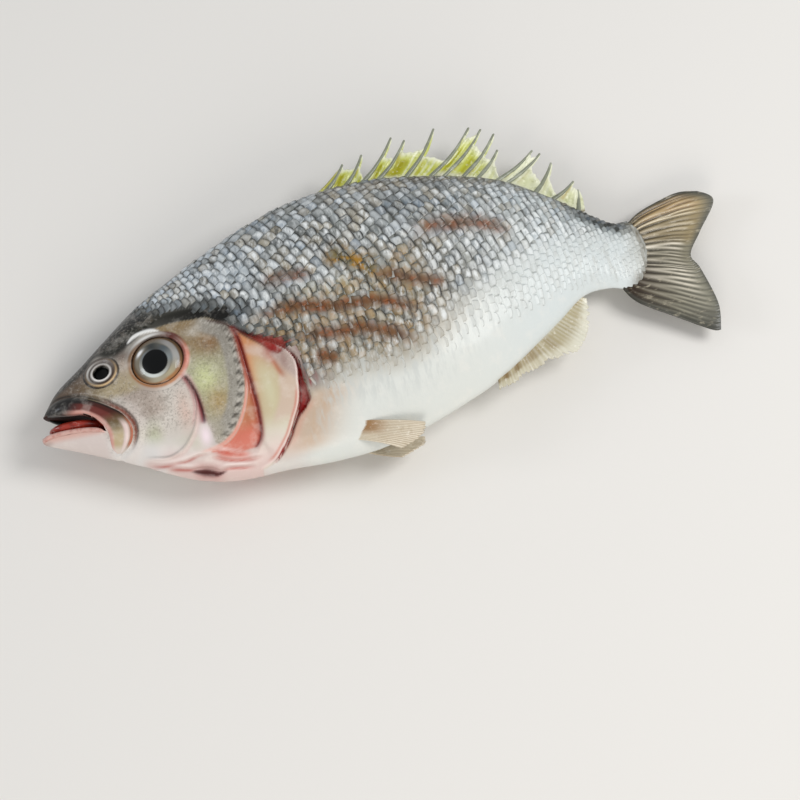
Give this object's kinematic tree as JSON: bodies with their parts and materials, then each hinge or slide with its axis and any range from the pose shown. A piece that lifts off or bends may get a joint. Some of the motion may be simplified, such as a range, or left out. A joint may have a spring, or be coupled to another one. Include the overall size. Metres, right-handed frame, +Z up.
{
  "type": "whole raw fish",
  "caption": "Whole raw food fish lying on its right flank, mouth open, with gill covers, a spiny back fin and a forked tail.",
  "frame": {"origin": "on the surface the fish lies on, under the middle of its outline", "axes": "+X from the snout to the tail, +Y from the belly to the back, +Z up through the left flank"},
  "size_m": [0.3648, 0.1688, 0.0554],
  "materials": {
    "skin": "wet scaled skin, blue-grey over the back, silver-white below",
    "mouth_flesh": "wet red flesh",
    "eye": "clear wet cornea over a black pupil and a grey-white ring",
    "spiny_fin": "thin yellow-green web between grey spines",
    "tail_skin": "brown-grey ribbed fin skin",
    "pale_fin": "pale cream ribbed fin skin"
  },
  "bodies": {
    "root": {"body": "skin", "tongue": "mouth_flesh", "eye_left": "eye", "eye_right": "eye", "dorsal_fin": "spiny_fin", "tail_fin": "tail_skin", "anal_fin": "pale_fin", "pectoral_fin_left": "pale_fin", "pectoral_fin_right": "pale_fin"}
  },
  "joints": []
}
